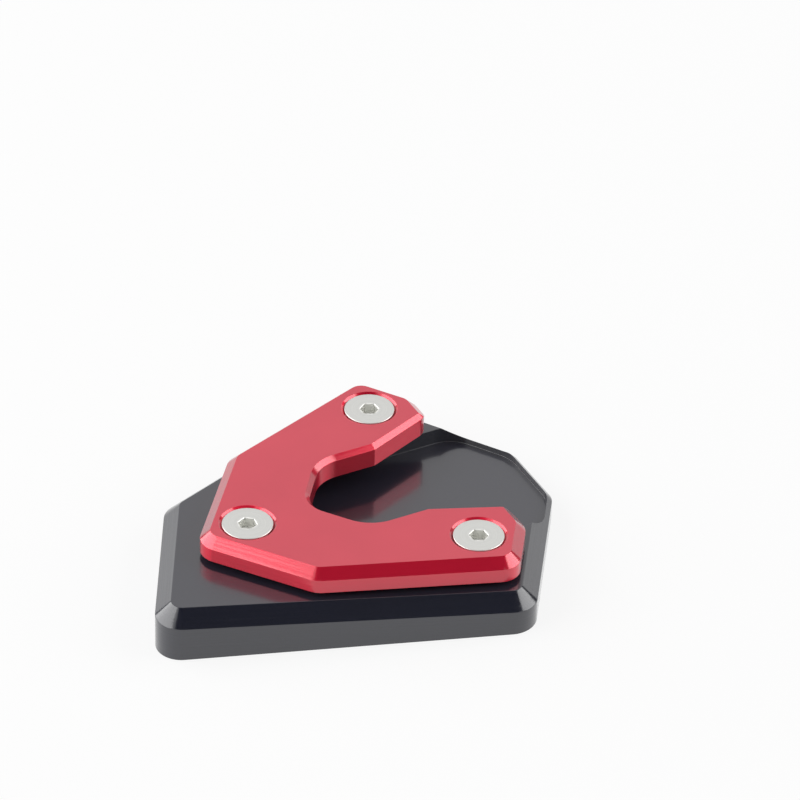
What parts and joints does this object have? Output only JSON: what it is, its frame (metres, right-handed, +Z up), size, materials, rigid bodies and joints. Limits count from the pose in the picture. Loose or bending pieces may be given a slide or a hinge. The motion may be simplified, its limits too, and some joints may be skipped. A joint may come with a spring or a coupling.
{
  "type": "kickstand foot enlarger",
  "caption": "Wedge-shaped black base plate with a pocket, and a slotted red clamp plate that countersunk screws pull down over a kickstand's foot to give it a wider footprint.",
  "frame": {"origin": "middle of the underside's bounding box, on the surface that the part stands on", "axes": "+X along the slot, from its closed nose to its open heel, +Y to the left of the slot, +Z up"},
  "size_m": [0.1076, 0.0936, 0.0195],
  "materials": {
    "black_anodised": "black anodised, satin",
    "red_anodised": "red anodised, satin",
    "stainless": "satin stainless"
  },
  "bodies": {
    "root": {"base_plate": "black_anodised", "clamp_plate": "red_anodised", "clamp_screws": "stainless"}
  },
  "joints": []
}
